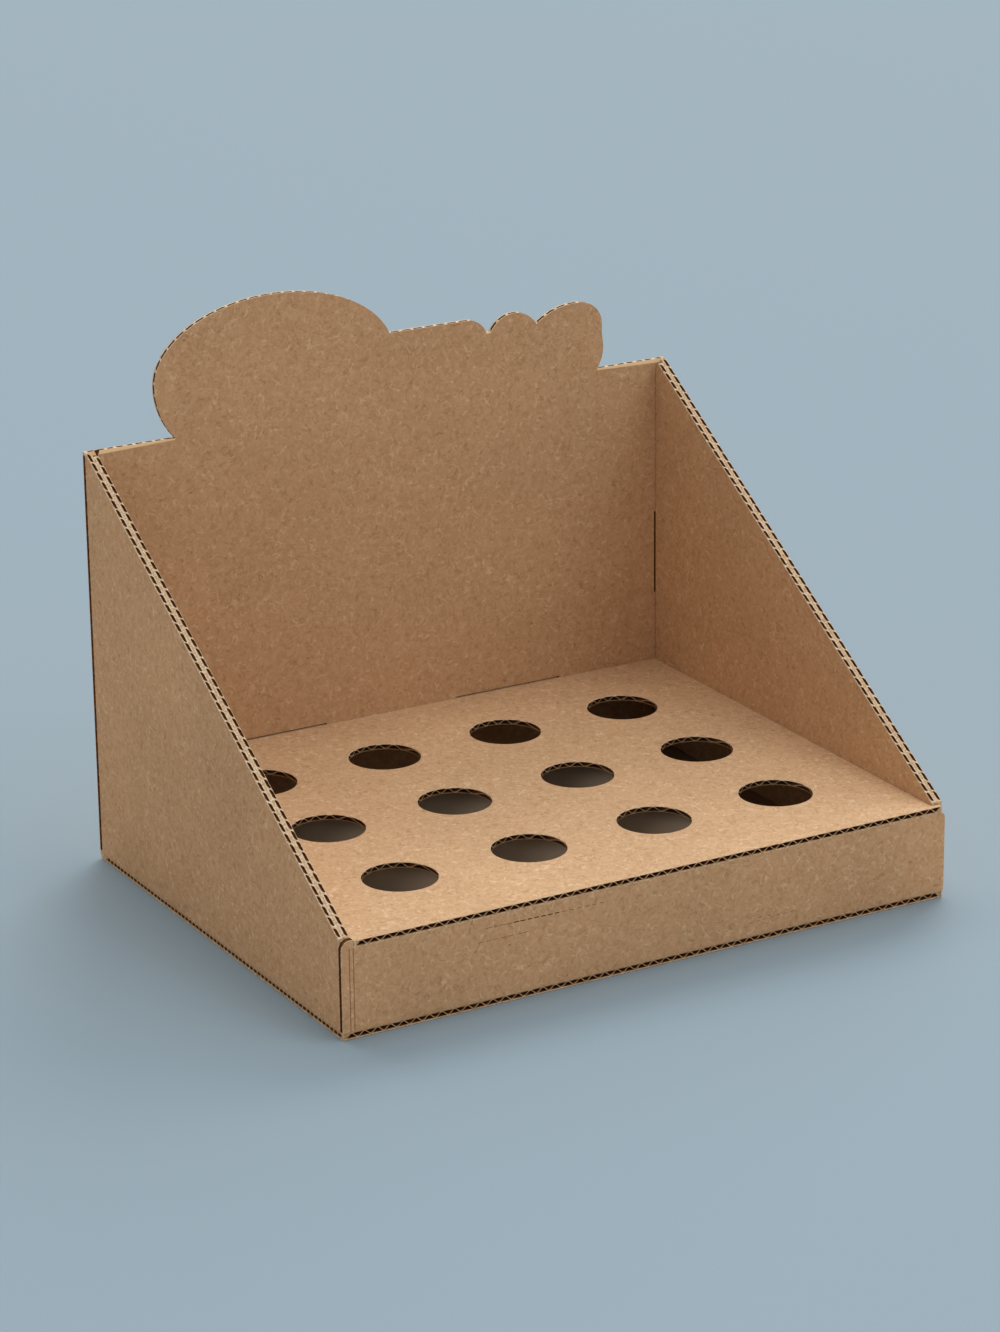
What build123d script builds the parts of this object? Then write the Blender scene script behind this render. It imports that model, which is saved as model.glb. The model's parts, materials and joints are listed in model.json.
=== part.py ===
from build123d import *
import os
from math import asin, degrees, floor, sqrt

# Counter display box of corrugated kraft board, with round holes that hold small bottles.
# X runs along the front from left to right, Y from the front to the back, Z up.
# The origin is the middle of the underside. All sizes are in millimetres.

# Board
board = 2.9                   # thickness of the corrugated board
fold_crush = 0.1              # how much further the outer liner bends than the board is thick

# Body
body_width = 320.0            # outer faces of the two outer sides
body_depth = 252.0            # front panel's face to the back's rear face
shoulder_height = 205.0       # top of the back beside the header
shelf_height = 46.0           # top face of the holed shelf
side_front_height = 47.2      # the sloping sides' low end, just above the shelf

# Holes for the bottles
hole_diameter = 35.0
hole_columns = 4
hole_rows = 3
column_pitch = 67.3
row_pitch = 69.6

# Shelf's tabs in the back
shelf_tab_width = 60.0
shelf_tab_spacing = 133.4     # between the middles of the two tabs
shelf_slot_room = 0.75        # daylight above a tab in its slot

# Inner sides' tabs in the back
side_tab_bottom = 82.0
side_tab_height = 43.0
side_slot_room = 0.8          # daylight beside a tab, on the tray's side
side_corner_cut = 2.5         # small bevel at an inner side's top rear corner

# Front panel
ear_width = 6.5               # the ear that stands up beside the shelf's front edge
ear_rise = 0.8                # the ear's top above the shelf
ear_corner_radius = 4.5
panel_top_radius = 3.0        # top right corner
panel_bottom_radius = 1.2     # bottom right corner
shelf_end_setback = 2.0       # the shelf's right end, in from the front panel's end
base_end_setback = 1.0        # the base's right end, in from the front panel's end

# Header, measured across from the middle of the box and up from the shoulders
lobe_middle = -59.0           # the big lobe is half of an ellipse
lobe_half_width = 64.0
lobe_half_height = 37.0
lobe_rise = 26.0              # the ellipse's middle above the shoulders
undercut_radius = 38.8        # turns in below the lobe's widest point
ledge_rise = 35.0             # level stretch between the lobe and the notches
ledge_end = 46.0
ledge_corner_radius = 11.7
notch_rise = 27.2             # floor of the first notch
notch_width = 2.3
bump_width = 25.9             # small bump between the two notches
bump_rise = 35.3
second_notch_rise = 28.0
crest_end = 112.0             # large bump at the right: the end of its long top
crest_rise = 35.2
crest_sag = 2.9               # how far that top bulges above its chord
nose_out = 122.9              # the end of the large bump's round corner
nose_rise = 21.3
waist_out = 123.2             # the flank draws in slightly above this point
waist_rise = 15.5
heel_out = 120.0              # where the flank meets the right shoulder

# Bevels on the shoulders, where the front liner is crushed back
bevel_height = 1.9
bevel_depth = 0.8

# Open flute cells along the raw edges
liner = 0.45                  # outer paper of the board, with its glue
flute_pitch = 6.4             # from crest to crest
flute_wall = 0.45             # wavy paper between two cells, measured along the edge
dash_pitch = 5.9              # step of the long cells on sloping, curved and upright edges
dash_length = 4.9
dash_liner = 0.6              # outer paper beside a long cell
dash_taper = 0.4              # how much shorter a long cell is on its narrow side, at each end
cell_depth = 4.0              # how far the cells are open, in from the edge
back_cell_depth = 1.9         # the same in the back, where deeper ones would meet each other and the slots
cell_lead = 0.2               # how far outside the edge a cell starts, so that a hollow curve is cut too
row_margin = 1.2              # board left whole beyond the last cell of a row

# Clearance
slip = 0.1                    # between an edge and the sheet or slot beside it

# Derived places
left_end = -body_width / 2
right_end = body_width / 2
front_face = -body_depth / 2
rear_face = body_depth / 2
panel_rear = front_face + board
back_front = rear_face - board
shelf_bottom = shelf_height - board
side_slope = (shoulder_height - side_front_height) / (back_front - panel_rear)
tray_half_width = right_end - 2 * board
ear_end = left_end + ear_width
header_top = shoulder_height + lobe_rise + lobe_half_height
lobe_left = lobe_middle - lobe_half_width
lobe_root = lobe_left + undercut_radius - sqrt(undercut_radius**2 - lobe_rise**2)


def patch(left, right, low, high):
    # A flat rectangle between these edges.
    return Pos((left + right) / 2, (low + high) / 2) * Rectangle(right - left, high - low)


def seen_from_side(outline, left, width):
    # An outline drawn as rearward and up, given this width from its left-hand face.
    return extrude(Plane.YZ.offset(left) * outline, width)


def seen_from_front(outline, rear, depth):
    # An outline drawn as across and up, given this depth forward of its rear face.
    return extrude(Plane.XZ.offset(-rear) * outline, depth)


def seen_from_above(outline, bottom):
    # An outline drawn as across and rearward, one board thick.
    return extrude(Plane.XY.offset(bottom) * outline, board)


def rounded_corner(outline, across, up, radius):
    # Rounds the outline's corner that lies at this place.
    corner = outline.vertices().sort_by_distance((across, up, 0))[0]
    return fillet(corner, radius)


# Flute cells, cut into a raw edge

def wave_cell():
    # Where an edge crosses the flutes squarely, a cell is a triangle under one crest of the wavy paper.
    wide = flute_pitch / 2 - flute_wall
    high = board / 2 - liner
    return make_face(Polyline((-wide, -high), (wide, -high), (0, high), close=True))


def dash_cell():
    # Where an edge crosses them at a slant, a cell is long and narrows a little towards one liner.
    long = dash_length / 2
    short = long - dash_taper
    high = board / 2 - dash_liner
    corners = [(-long, -high), (long, -high), (short, high), (-short, high)]
    return make_face(Polyline(*corners, close=True))


def row_of_cells(path, board_plane, cell, step, depth=cell_depth, upturned=False):
    # Cells at even steps along an edge's path, which is drawn on the board's middle plane with the sheet
    # on the right-hand side of the way it runs. A path too short for a whole cell has none.
    spare = path.length - cell.bounding_box().size.X - 2 * row_margin
    steps = floor(spare / step)
    start = (path.length - steps * step) / 2
    cells = []
    for number in range(steps + 1):
        at = (start + number * step) / path.length
        along = path % at
        inward = Vector(along.Y, -along.X, 0)
        turn = Rot(0, 0, 180) if upturned and number % 2 else Rot(0, 0, 0)
        outside = path @ at - inward * cell_lead
        mouth = board_plane.location * Plane(outside, x_dir=along, z_dir=inward).location * turn
        cells += extrude(mouth * cell, depth + cell_lead).solids()
    return cells


def groove(outline, window, board_plane):
    # Where an edge runs along the flutes, one flute lies open along it, inside this window of the outline.
    band = (outline - offset(outline, -cell_depth)) & window
    return extrude(board_plane * band, board / 2 - liner, both=True)


# Sloping sides, two plies each

def sloping_outline():
    # A level foot on the base, upright ends, and one straight slope from the shelf to the shoulder.
    corners = [
        (panel_rear, board),
        (back_front, board),
        (back_front, shoulder_height),
        (panel_rear, side_front_height),
    ]
    return make_face(Polyline(*corners, close=True))


def sloping_cells(inner_face):
    # The slope cuts the flutes at a slant, which leaves long cells. They lean towards the back as they
    # go in, so the row stops short of the rear end by that much, and clear of the inner sides' bevel.
    middle = Plane.YZ.offset(inner_face + board / 2)
    short = max(cell_depth * side_slope, side_corner_cut)
    top = (back_front - short, shoulder_height - short * side_slope)
    return row_of_cells(Line((panel_rear, side_front_height), top), middle, dash_cell(), dash_pitch)


def right_outer_side():
    inner_face = tray_half_width + board
    return seen_from_side(sloping_outline(), inner_face, board) - sloping_cells(inner_face)


def right_inner_side():
    cut_corners = [
        (back_front, shoulder_height - side_corner_cut * (1 + side_slope)),
        (back_front, shoulder_height),
        (back_front - side_corner_cut, shoulder_height - side_corner_cut * side_slope),
    ]
    corner_cut = make_face(Polyline(*cut_corners, close=True))
    tab = patch(back_front - board, rear_face, side_tab_bottom, side_tab_bottom + side_tab_height)
    sheet = seen_from_side(sloping_outline() - corner_cut + tab, tray_half_width, board)
    return sheet - sloping_cells(tray_half_width)


# Back and base, one sheet folded along the rear bottom edge

def header_edge():
    # From the left shoulder over the lobe, the ledge, the two notches and the bumps to the right shoulder.
    def at(across, rise):
        return (across, shoulder_height + rise)

    ledge_height = (ledge_rise - lobe_rise) / lobe_half_height
    ledge_start = lobe_middle + lobe_half_width * sqrt(1 - ledge_height**2)
    lobe_turn = degrees(asin(ledge_height))
    corner_drop = ledge_rise - notch_rise
    notch_left = ledge_end + sqrt(corner_drop * (2 * ledge_corner_radius - corner_drop))
    notch_right = notch_left + notch_width
    second_notch = notch_right + bump_width
    crest_middle = at((second_notch + crest_end) / 2, (second_notch_rise + crest_rise) / 2 + crest_sag)

    undercut = RadiusArc(at(lobe_root, 0), at(lobe_left, lobe_rise), undercut_radius)
    lobe = EllipticalCenterArc(
        at(lobe_middle, lobe_rise),
        lobe_half_width,
        lobe_half_height,
        start_angle=180,
        arc_size=lobe_turn - 180,
    )
    ledge = Line(at(ledge_start, ledge_rise), at(ledge_end, ledge_rise))
    ledge_corner = TangentArc(ledge @ 1, at(notch_left, notch_rise), tangent=(1, 0))
    notch = Line(ledge_corner @ 1, at(notch_right, notch_rise))
    bump_top = at((notch_right + second_notch) / 2, bump_rise)
    bump = ThreePointArc(notch @ 1, bump_top, at(second_notch, second_notch_rise))
    crest = ThreePointArc(bump @ 1, crest_middle, at(crest_end, crest_rise))
    nose = TangentArc(crest @ 1, at(nose_out, nose_rise), tangent=crest % 1)
    waist = TangentArc(nose @ 1, at(waist_out, waist_rise), tangent=nose % 1)
    heel = TangentArc(waist @ 1, at(heel_out, 0), tangent=waist % 1)
    return [[undercut, lobe], [ledge, ledge_corner], [notch], [bump], [crest, nose, waist, heel]]


def back_outline():
    edges = Polyline(
        (lobe_root, shoulder_height),
        (left_end, shoulder_height),
        (left_end, 0),
        (right_end, 0),
        (right_end, shoulder_height),
        (heel_out, shoulder_height),
    )
    return make_face(Curve() + [edges, *sum(header_edge(), [])])


def fold_outline():
    # The base and the back in section: sharp inside the fold, rounded outside it.
    bend = board + fold_crush
    underside = Line((front_face, 0), (rear_face - bend, 0))
    turn = TangentArc(underside @ 1, (rear_face, bend), tangent=(1, 0))
    inside = Polyline(
        turn @ 1,
        (rear_face, header_top),
        (back_front, header_top),
        (back_front, board),
        (front_face, board),
        (front_face, 0),
    )
    return make_face(Curve() + [underside, turn, inside])


def shoulder_bevels():
    corners = [
        (back_front, shoulder_height - bevel_height),
        (back_front + bevel_depth, shoulder_height),
        (back_front, shoulder_height),
    ]
    bevel = make_face(Polyline(*corners, close=True))
    left = seen_from_side(bevel, left_end, lobe_root - left_end)
    right = seen_from_side(bevel, heel_out, right_end - heel_out)
    return [left, right]


def back_cells():
    # Long cells up both ends of the back, along the shoulders between them and round the header.
    middle = Plane.XZ.offset(board / 2 - rear_face)
    bend = board + fold_crush
    paths = [
        Line((left_end, bend), (left_end, shoulder_height)),
        Line((left_end + back_cell_depth, shoulder_height), (lobe_root, shoulder_height)),
        Line((heel_out, shoulder_height), (right_end - back_cell_depth, shoulder_height)),
        Line((right_end, shoulder_height), (right_end, bend)),
    ]
    paths += [Wire(stretch) for stretch in header_edge()]
    cells = []
    for path in paths:
        cells += row_of_cells(path, middle, dash_cell(), dash_pitch, depth=back_cell_depth)
    return cells


def base_cells():
    # The flutes run from front to back: open cells along the front, one flute lying open along each end.
    middle = Plane.XY.offset(board / 2)
    start = front_face + cell_depth + row_margin
    short_end = right_end - base_end_setback
    base = patch(left_end, short_end, front_face, back_front)
    front = Line((short_end, front_face), (left_end, front_face))
    cells = row_of_cells(front, middle, wave_cell(), flute_pitch / 2, upturned=True)
    for end in (left_end, short_end):
        beside = patch(end - cell_depth, end + cell_depth, start, back_front - row_margin)
        cells.append(groove(base, beside, middle))
    return cells


def tab_slots():
    slot_half_width = shelf_tab_width / 2 + slip
    slot_top = shelf_height + shelf_slot_room
    level = Locations((-shelf_tab_spacing / 2, 0), (shelf_tab_spacing / 2, 0)) * patch(
        -slot_half_width, slot_half_width, shelf_bottom, slot_top
    )
    upright = patch(
        tray_half_width - side_slot_room,
        tray_half_width + board + slip,
        side_tab_bottom - slip,
        side_tab_bottom + side_tab_height + slip,
    )
    outline = Sketch() + [*level, upright, mirror(upright, about=Plane.YZ)]
    return seen_from_front(outline, rear_face, board)


def back_and_base():
    folded = seen_from_side(fold_outline(), left_end, body_width)
    cut_out = seen_from_front(back_outline(), rear_face, body_depth)
    short_end = patch(right_end - base_end_setback, right_end, front_face, back_front)
    sheet = (folded & cut_out) - shoulder_bevels() - tab_slots() - seen_from_above(short_end, 0)
    return sheet - back_cells() - base_cells()


# Front panel, standing on the base in front of the sides

def front_panel():
    ear_top = shelf_height + ear_rise
    outline = patch(left_end, right_end, board, shelf_bottom) + patch(left_end, ear_end, board, ear_top)
    outline = rounded_corner(outline, left_end, ear_top, ear_corner_radius)
    outline = rounded_corner(outline, right_end, shelf_bottom, panel_top_radius)
    outline = rounded_corner(outline, right_end, board, panel_bottom_radius)
    middle = Plane.XZ.offset(board / 2 - panel_rear)
    left_window = patch(left_end, ear_end - row_margin, board + row_margin, ear_top)
    right_window = patch(right_end - cell_depth, right_end, board + row_margin, shelf_bottom - row_margin)
    grooves = [groove(outline, window, middle) for window in (left_window, right_window)]
    return seen_from_front(outline, panel_rear, board) - grooves


# Holed shelf, lying on the front panel's top edge and held by its tabs in the back

def holed_shelf():
    edge = tray_half_width - slip
    sheet = patch(-edge, edge, front_face, back_front)
    front_strip = patch(edge, right_end - shelf_end_setback, front_face, panel_rear)
    ear_room = patch(-edge, ear_end + slip, front_face, panel_rear + slip)
    tab = patch(-shelf_tab_width / 2, shelf_tab_width / 2, back_front, rear_face)
    tabs = Locations((-shelf_tab_spacing / 2, 0), (shelf_tab_spacing / 2, 0)) * tab
    grid_middle = (front_face + back_front) / 2
    grid = Pos(0, grid_middle) * GridLocations(column_pitch, row_pitch, hole_columns, hole_rows)
    holes = grid * Circle(hole_diameter / 2)
    outline = sheet + front_strip + tabs - ear_room - holes
    front_edge = Line((right_end - shelf_end_setback, front_face), (ear_end + slip, front_face))
    middle = Plane.XY.offset(shelf_bottom + board / 2)
    cells = row_of_cells(front_edge, middle, wave_cell(), flute_pitch / 2, upturned=True)
    return seen_from_above(outline, shelf_bottom) - cells


def save(name, solid):
    export_step(solid, f"parts/{name}.step")


os.makedirs("parts", exist_ok=True)
save("back_and_base", back_and_base())
save("front_panel", front_panel())
save("holed_shelf", holed_shelf())
for name, side in (("outer_side", right_outer_side()), ("inner_side", right_inner_side())):
    save("right_" + name, side)
    save("left_" + name, mirror(side, about=Plane.YZ))
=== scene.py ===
import json
from math import acos, cos, pi, radians, sin

import bmesh
import bpy
from mathutils import Matrix, Vector


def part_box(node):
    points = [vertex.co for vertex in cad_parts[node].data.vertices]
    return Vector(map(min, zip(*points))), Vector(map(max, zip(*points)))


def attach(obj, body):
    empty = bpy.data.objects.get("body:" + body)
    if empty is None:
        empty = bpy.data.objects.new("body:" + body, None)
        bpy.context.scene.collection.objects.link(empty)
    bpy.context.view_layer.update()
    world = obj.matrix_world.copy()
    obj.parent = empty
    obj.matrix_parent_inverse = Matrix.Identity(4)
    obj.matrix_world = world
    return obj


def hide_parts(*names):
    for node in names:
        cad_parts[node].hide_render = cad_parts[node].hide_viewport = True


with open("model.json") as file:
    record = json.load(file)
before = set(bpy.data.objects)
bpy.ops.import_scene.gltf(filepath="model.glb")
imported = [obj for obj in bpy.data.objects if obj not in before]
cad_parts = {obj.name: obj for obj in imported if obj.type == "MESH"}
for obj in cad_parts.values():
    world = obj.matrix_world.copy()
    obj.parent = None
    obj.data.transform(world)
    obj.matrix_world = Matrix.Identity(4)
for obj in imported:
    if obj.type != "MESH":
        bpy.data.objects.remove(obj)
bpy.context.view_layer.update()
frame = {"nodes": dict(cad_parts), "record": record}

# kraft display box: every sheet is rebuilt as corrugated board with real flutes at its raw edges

mm = 0.001
slack = 1 * mm            # how far a cutter runs past the faces that it cuts
hair = 0.1 * mm           # a point this near a plane counts as on it
exact = 0.01 * mm         # and a face this near
joined = 0.001 * mm       # vertices this near become one
nodes = frame["nodes"]
scene = bpy.context.scene
print("stage 1: frame loaded,", len(nodes), "sheets")

# what the frame says: the board's thickness and the planes that the sheets lie on
wholeLow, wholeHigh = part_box("back_and_base")
shelfLow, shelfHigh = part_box("holed_shelf")
panelLow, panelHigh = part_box("front_panel")
board = shelfHigh.z - shelfLow.z
backFront = wholeHigh.y - board
leftEnd, rightEnd = wholeLow.x, wholeHigh.x


# small helpers

def linear(hexColour):
    # sRGB hex to the linear colour that shaders take
    channels = [int(hexColour[i:i + 2], 16) / 255 for i in (1, 3, 5)]
    return [c / 12.92 if c <= 0.04045 else ((c + 0.055) / 1.055) ** 2.4 for c in channels] + [1.0]


def addNode(tree, kind, links=None, **settings):
    # one node with its settings, and a value or a link for each named input
    node = tree.nodes.new(kind)
    for key, value in settings.items():
        setattr(node, key, value)
    for socket, value in (links or {}).items():
        target = node.inputs[socket]
        if isinstance(value, bpy.types.NodeSocket):
            tree.links.new(value, target)
        else:
            target.default_value = value
    return node


def meshObject(name, build):
    # a new object at the origin whose mesh is made by build(bm)
    bm = bmesh.new()
    build(bm)
    mesh = bpy.data.meshes.new(name)
    bm.to_mesh(mesh)
    bm.free()
    obj = bpy.data.objects.new(name, mesh)
    scene.collection.objects.link(obj)
    return obj


def bakeModifiers(obj):
    # the evaluated result becomes the object's own plain mesh
    graph = bpy.context.evaluated_depsgraph_get()
    graph.update()
    mesh = bpy.data.meshes.new_from_object(obj.evaluated_get(graph))
    mesh.name = obj.name
    obj.modifiers.clear()
    obj.data = mesh
    return obj


def setInputs(modifier, values):
    # a tree's named inputs, set by each socket's identifier
    for item in modifier.node_group.interface.items_tree:
        if item.item_type == "SOCKET" and item.in_out == "INPUT" and item.name in values:
            modifier[item.identifier] = values[item.name]


def weld(bm):
    bmesh.ops.remove_doubles(bm, verts=bm.verts, dist=joined)


def skin(bm, rings):
    # a closed solid through rings of points, all of the same count; gives its walls, ring by ring
    rings = [[bm.verts.new(p) for p in ring] for ring in rings]
    bm.faces.new(rings[0])
    bm.faces.new(rings[-1])
    walls = []
    for near, far in zip(rings, rings[1:]):
        for i in range(len(near)):
            j = (i + 1) % len(near)
            walls.append(bm.faces.new((near[i], near[j], far[j], far[i])))
    bmesh.ops.recalc_face_normals(bm, faces=bm.faces)
    return walls


def cut(obj, cutter, operation="DIFFERENCE"):
    # the cutter is taken away from the object, or what they share is kept, and the cutter goes
    boolean = obj.modifiers.new("cut", "BOOLEAN")
    boolean.object = cutter
    boolean.operation = operation
    boolean.solver = "EXACT"
    boolean.material_mode = "TRANSFER"
    bakeModifiers(obj)
    bpy.data.objects.remove(cutter)


def handIn(sheet, node):
    # the finished sheet stands in for the frame's node
    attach(sheet, "root")
    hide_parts(node)


# materials

kraftLook = {
    "paper": "#dbb58d",
    "paperDark": "#cba279",
    "paleFibre": "#eed0ab",
    "darkFibre": "#a1774e",
    "speck": "#7f5c3a",
    "fleckSize": 3.4,      # mm across a fibre clump
    "fibreSize": 5.5,      # mm over which a single fibre wanders
    "fibreWidth": 0.035,   # share of that size
    "speckSize": 1.7,      # mm from one dark speck to the next
    "cloudSize": 60.0,     # mm across a cloudy patch
    "fleckRange": (0.38, 0.6),       # parts of each noise that fade from none to all
    "placeRange": (0.46, 0.6),
    "speckRange": (0.68, 0.78),
    "cloudRange": (0.3, 0.7),
    "paleShow": 0.75,      # share of its own colour that a pale fibre shows
    "darkShow": 0.42,
    "speckShow": 0.5,
    "cloudShade": 0.05,    # share by which a cloud is lighter or darker
    "roughness": 0.9,
    "specular": 0.2,       # paper hardly shines
    "bump": 0.1,           # mm, how far the fibre clumps stand up
    "bumpStrength": 0.3,
}


def kraftLiner(name, tone=1.0):
    # brown kraft liner board: matt, with fibre clumps, stray fibres, sparse dark specks and cloudy patches
    material = bpy.data.materials.new(name)
    material.use_nodes = True
    tree = material.node_tree
    shader = tree.nodes["Principled BSDF"]
    shader.inputs["Roughness"].default_value = kraftLook["roughness"]
    shader.inputs["Specular IOR Level"].default_value = kraftLook["specular"]
    place = addNode(tree, "ShaderNodeTexCoord").outputs["Object"]

    def noise(size, seed, **settings):
        return addNode(tree, "ShaderNodeTexNoise", {
            "Vector": place, "W": seed, "Scale": 1 / (size * mm), **settings,
        }, noise_dimensions="4D").outputs["Fac"]

    def ranged(value, fromMin, fromMax, toMin, toMax):
        return addNode(tree, "ShaderNodeMapRange", {
            "Value": value, "From Min": fromMin, "From Max": fromMax, "To Min": toMin, "To Max": toMax,
        }).outputs["Result"]

    def mixed(share, one, other):
        return addNode(tree, "ShaderNodeMix", {0: share, 6: one, 7: other}, data_type="RGBA").outputs[2]

    def fibres(seed, strength):
        # short wandering lines: where a warped noise crosses its middle, in some places only
        wander = noise(kraftLook["fibreSize"], seed, Detail=1.0, Distortion=0.6)
        off = addNode(tree, "ShaderNodeMath", {0: wander, 1: 0.5}, operation="SUBTRACT")
        off = addNode(tree, "ShaderNodeMath", {0: off.outputs[0]}, operation="ABSOLUTE")
        line = ranged(off.outputs[0], 0.0, kraftLook["fibreWidth"], strength, 0.0)
        some = ranged(noise(kraftLook["fleckSize"], seed + 5, Detail=1.0), *kraftLook["placeRange"], 0.0, 1.0)
        return addNode(tree, "ShaderNodeMath", {0: line, 1: some}, operation="MULTIPLY").outputs[0]

    flecks = noise(kraftLook["fleckSize"], 0.0, Detail=5.0, Roughness=0.68, Distortion=1.4)
    clumps = mixed(ranged(flecks, *kraftLook["fleckRange"], 0.0, 1.0), linear(kraftLook["paperDark"]),
                   linear(kraftLook["paper"]))
    pale = mixed(fibres(1.0, kraftLook["paleShow"]), clumps, linear(kraftLook["paleFibre"]))
    dark = mixed(fibres(2.0, kraftLook["darkShow"]), pale, linear(kraftLook["darkFibre"]))
    specks = noise(kraftLook["speckSize"], 3.0, Detail=1.0, Distortion=0.8)
    sparse = ranged(specks, *kraftLook["speckRange"], 0.0, kraftLook["speckShow"])
    speckled = mixed(sparse, dark, linear(kraftLook["speck"]))
    clouds = noise(kraftLook["cloudSize"], 4.0, Detail=3.0)
    change = kraftLook["cloudShade"]
    cloudy = ranged(clouds, *kraftLook["cloudRange"], (1 - change) * tone, (1 + change) * tone)
    shaded = addNode(tree, "ShaderNodeVectorMath", {0: speckled, "Scale": cloudy}, operation="SCALE")
    tree.links.new(shaded.outputs[0], shader.inputs["Base Color"])
    bump = addNode(tree, "ShaderNodeBump", {
        "Height": flecks, "Strength": kraftLook["bumpStrength"], "Distance": kraftLook["bump"] * mm})
    tree.links.new(bump.outputs["Normal"], shader.inputs["Normal"])
    return material


def plainPaper(name, colour, roughness=0.95):
    # matt paper of one colour
    material = bpy.data.materials.new(name)
    material.use_nodes = True
    shader = material.node_tree.nodes["Principled BSDF"]
    shader.inputs["Base Color"].default_value = linear(colour)
    shader.inputs["Roughness"].default_value = roughness
    shader.inputs["Specular IOR Level"].default_value = kraftLook["specular"]
    return material


def tornPaper(name, light, dark, size):
    # a raw edge: layers of paper that tore and frayed a little, so its tone is uneven
    material = plainPaper(name, light)
    tree = material.node_tree
    place = addNode(tree, "ShaderNodeTexCoord").outputs["Object"]
    frayed = addNode(tree, "ShaderNodeTexNoise", {
        "Vector": place, "Scale": 1 / (size * mm), "Detail": 3.0, "Roughness": 0.6, "Distortion": 1.0})
    darkest, lightest = edgeLook["tearRange"]
    share = addNode(tree, "ShaderNodeMapRange", {
        "Value": frayed.outputs["Fac"], "From Min": darkest, "From Max": lightest})
    colour = addNode(tree, "ShaderNodeMix", {
        0: share.outputs["Result"], 6: linear(dark), 7: linear(light)}, data_type="RGBA")
    tree.links.new(colour.outputs[2], tree.nodes["Principled BSDF"].inputs["Base Color"])
    return material


# colours of the board's raw edges and of its plain papers
edgeLook = {
    "cut": "#f2dcbc",
    "cutDark": "#c7a47e",
    # the bevel's pale core, made brighter still as a painted highlight
    "bevel": "#fbd6a4",
    "bevelRoughness": 0.9,
    "web": "#dcbd94",
    "webDark": "#a5825c",
    # squashed fluting: partly its own brown, partly painted shade
    "crushed": "#94652f",
    "crushedDark": "#5d3a1b",
    # painted shade: the fluting, shallow-cell and inside colours below are dark stand-ins for shade
    "flute": "#7c4c22",
    "dash": "#70441d",
    "inside": "#a8937c",
    "graze": "#b18c65",
    # painted shade: a pressed line is darkened by this share
    "creaseShade": 0.92,       # a pressed line's brightness, as a share of the face's
    "tear": {"cut": 1.1, "web": 0.8, "crushed": 0.9},    # mm across a tuft of torn paper
    "tearRange": (0.4, 0.62),                            # part of its noise that fades from dark to light
}
tear = edgeLook["tear"]
# the outer liner, brown and matt
kraftFace = kraftLiner("kraftLinerFace")
# the same in pressed lines, a little darker as painted shade
creaseShadeKraft = kraftLiner("creasedKraftLiner", edgeLook["creaseShade"])
# freshly cut liner, paler than its face
cutEdge = tornPaper("kraftCutEdge", edgeLook["cut"], edgeLook["cutDark"], tear["cut"])
# cut ends of the wavy paper, browner than the liners and uneven
webPaper = tornPaper("wavyPaperEnd", edgeLook["web"], edgeLook["webDark"], tear["web"])
# fluting squashed flat where the panel was bent round; its dark brown is partly its own and partly painted
# shade in the groove
crushedFlutingAndShadePaper = tornPaper("crushedFluting", edgeLook["crushed"], edgeLook["crushedDark"], tear["crushed"])
# painted shade: the wavy paper inside, and cut faces of gaps and slots, coloured dark as their shade
fluteShadePaper = plainPaper("flutingPaper", edgeLook["flute"])
# painted shade, darker still, for shallow cells that the lamps would otherwise light
dashShadePaper = plainPaper("shallowFluting", edgeLook["dash"])
# the liner's bright core on the shoulders, brightened further as a painted highlight
bevelCoreAndHighlight = plainPaper("pushedBackLiner", edgeLook["bevel"], edgeLook["bevelRoughness"])
# painted shade on faces under the shelf and behind the panel, dull and dim
insideShadePaper = plainPaper("insideLiner", edgeLook["inside"])
# shallow marks that only raise the fibres
grazedKraft = plainPaper("grazedKraft", edgeLook["graze"])
print("stage 2: materials")


# outlines, read from the broad faces of the frame's sheets

def outlineLoops(node, axis, value):
    # closed loops of the node's faces that lie on the plane, the longest (outer) one first
    bm = bmesh.new()
    bm.from_mesh(nodes[node].data)
    weld(bm)
    flat = {f for f in bm.faces if all(abs(v.co[axis] - value) < exact for v in f.verts)}
    rim = [e for e in bm.edges if sum(f in flat for f in e.link_faces) == 1]
    beside = {}
    for edge in rim:
        one, other = edge.verts
        beside.setdefault(one, []).append(other)
        beside.setdefault(other, []).append(one)
    loops = []
    unused = set(beside)
    while unused:
        start = min(unused, key=lambda v: (v.co.z, v.co.x, v.co.y))
        loop, here, last = [start.co.copy()], beside[start][0], start
        unused.discard(start)
        while here is not start:
            loop.append(here.co.copy())
            unused.discard(here)
            onward = [v for v in beside[here] if v is not last]
            here, last = onward[0], here
        loops.append(loop)
    bm.free()
    loops.sort(key=lambda points: -sum((a - b).length for a, b in zip(points, points[1:] + points[:1])))
    return loops


def prism(name, loop, offset, faceMaterial, sideMaterial):
    # the loop extruded by the offset vector; ends take the first material, sides the second
    def build(bm):
        verts = [bm.verts.new(p) for p in loop]
        face = bm.faces.new(verts)
        grown = bmesh.ops.extrude_face_region(bm, geom=[face])
        moved = [v for v in grown["geom"] if isinstance(v, bmesh.types.BMVert)]
        bmesh.ops.translate(bm, verts=moved, vec=offset)
        direction = Vector(offset).normalized()
        for f in bm.faces:
            f.normal_update()
            f.material_index = 0 if abs(f.normal.dot(direction)) > 0.9 else 1
        bmesh.ops.recalc_face_normals(bm, faces=bm.faces)
    obj = meshObject(name, build)
    obj.data.materials.append(faceMaterial)
    obj.data.materials.append(sideMaterial)
    return obj


# what every sheet shares
sheetLook = {
    "rim": 0.28,              # mm, crushed rim of a die cut
    "onTable": 0.05,          # mm, rims lower than this lie on the table and stay sharp
    "edgeMargin": 3.5,        # mm from each end of a row to the middle of its first cell
    "reach": 0.4,             # mm that cells and grooves start outside their edge
}
margin = sheetLook["edgeMargin"] * mm
reach = sheetLook["reach"] * mm


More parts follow.
